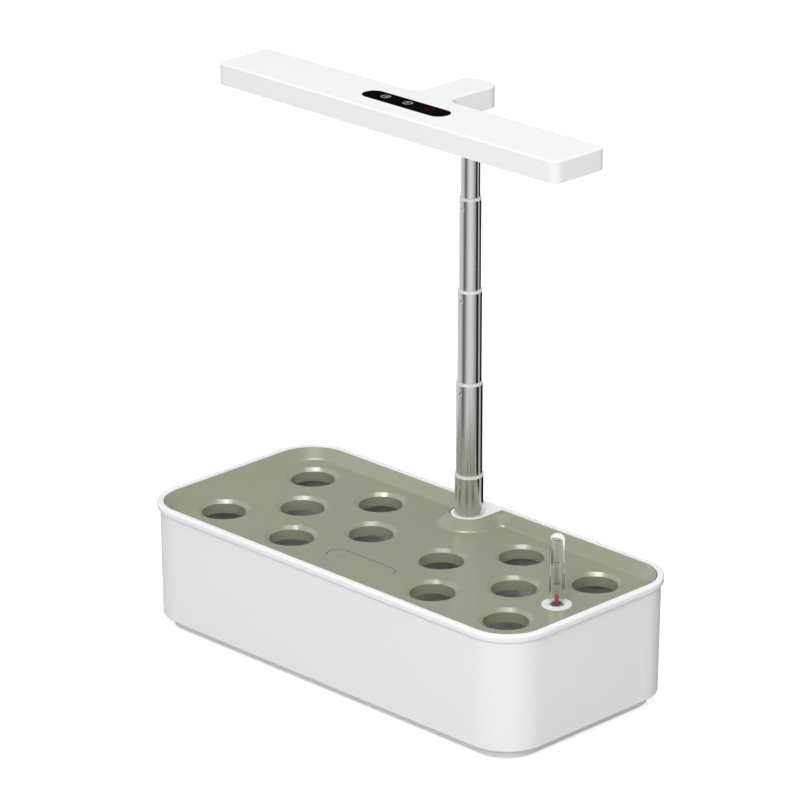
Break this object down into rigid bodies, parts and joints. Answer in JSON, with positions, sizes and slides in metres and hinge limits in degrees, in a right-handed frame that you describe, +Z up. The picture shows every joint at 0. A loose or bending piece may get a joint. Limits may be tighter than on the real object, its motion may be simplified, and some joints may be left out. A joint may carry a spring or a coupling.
{
  "type": "countertop hydroponic garden",
  "caption": "Rounded water tank with a lift-out planting deck, water gauge, circulation pump and a bar lamp on a telescopic pole.",
  "frame": {"origin": "middle of the footprint, on the table under the rubber feet", "axes": "+Z up, +X along the tank and the lamp bar, +Y to the back where the pole stands"},
  "size_m": [0.35, 0.167, 0.3909],
  "materials": {
    "white_shell": "satin white ABS",
    "green_deck": "satin sage-green plastic",
    "chrome_tube": "bright chromed steel",
    "white_ring": "satin white nylon",
    "bush_nylon": "natural nylon",
    "clear_tube": "clear polycarbonate",
    "clear_scale": "clear film",
    "scale_ink": "black print",
    "float_red": "red plastic",
    "float_foam": "closed-cell foam",
    "panel_glass": "gloss black",
    "diffuser": "frosted white",
    "circuit_board": "green solder mask",
    "led_white": "phosphor",
    "spreader_metal": "plain rolled",
    "screw_steel": "zinc plated",
    "foot_rubber": "grey rubber",
    "jack_black": "black moulding",
    "pump_black": "black moulding",
    "sponge_black": "open foam",
    "magnet_grey": "ferrite",
    "ceramic": "polished ceramic",
    "clamp_grey": "glass-filled nylon"
  },
  "bodies": {
    "tank": {"tank_shell": "white_shell", "tank_feet": "foot_rubber", "pole_collar": "white_ring", "dc_jack": "jack_black", "power_board": "circuit_board", "chamber_cover": "white_shell", "cover_screws": "screw_steel", "pump_housing": "pump_black", "pump_cover": "pump_black", "filter_sponge": "sponge_black", "impeller_shaft": "ceramic", "pump_outlet": "pump_black", "pump_gland": "jack_black", "suction_cups": "foot_rubber", "pole_tube_1": "chrome_tube", "pole_ring_1": "white_ring"},
    "impeller_set": {"impeller": "clamp_grey", "magnet_rotor": "magnet_grey"},
    "deck": {"grow_deck": "green_deck", "gauge_base": "white_ring", "gauge_tube": "clear_tube", "gauge_scale": "clear_scale", "scale_marks": "scale_ink", "float_cage": "white_ring"},
    "cap": {"fill_cap": "green_deck"},
    "float": {"float_body": "float_foam", "float_rod": "float_red"},
    "stage_2": {"pole_tube_2": "chrome_tube", "pole_ring_2": "white_ring", "slider_bush_2": "bush_nylon"},
    "stage_3": {"pole_tube_3": "chrome_tube", "pole_ring_3": "white_ring", "slider_bush_3": "bush_nylon"},
    "stage_4": {"pole_tube_4": "chrome_tube", "pole_ring_4": "white_ring", "slider_bush_4": "bush_nylon"},
    "lamp": {"pole_tube_5": "chrome_tube", "slider_bush_5": "bush_nylon", "lamp_housing": "white_shell", "lamp_bezel": "white_shell", "lamp_diffuser": "diffuser", "led_board": "circuit_board", "led_chips": "led_white", "heat_spreader": "spreader_metal", "control_board": "circuit_board", "touch_panel": "panel_glass", "pole_clamp": "clamp_grey", "clamp_screws": "screw_steel", "board_screws": "screw_steel", "bezel_screws": "screw_steel"}
  },
  "joints": [
    {"name": "impeller_spin", "type": "hinge", "parent": "tank", "child": "impeller_set", "pos_m": [-0.0997, 0.03, 0.0212], "axis": [1, 0, 0], "continuous": true},
    {"name": "deck_lift", "type": "slide", "parent": "tank", "child": "deck", "axis": [0, 0, 1], "range_m": [0, 0.1]},
    {"name": "cap_lift", "type": "slide", "parent": "deck", "child": "cap", "axis": [0, 0, 1], "range_m": [0, 0.04]},
    {"name": "float_rise", "type": "slide", "parent": "deck", "child": "float", "axis": [0, 0, 1], "range_m": [0, 0.038]},
    {"name": "pole_slide_1", "type": "slide", "parent": "tank", "child": "stage_2", "axis": [0, 0, 1], "range_m": [-0.06, 0]},
    {"name": "pole_slide_2", "type": "slide", "parent": "stage_2", "child": "stage_3", "axis": [0, 0, 1], "range_m": [-0.06, 0]},
    {"name": "pole_slide_3", "type": "slide", "parent": "stage_3", "child": "stage_4", "axis": [0, 0, 1], "range_m": [-0.06, 0]},
    {"name": "lamp_slide", "type": "slide", "parent": "stage_4", "child": "lamp", "axis": [0, 0, 1], "range_m": [-0.06, 0]}
  ]
}
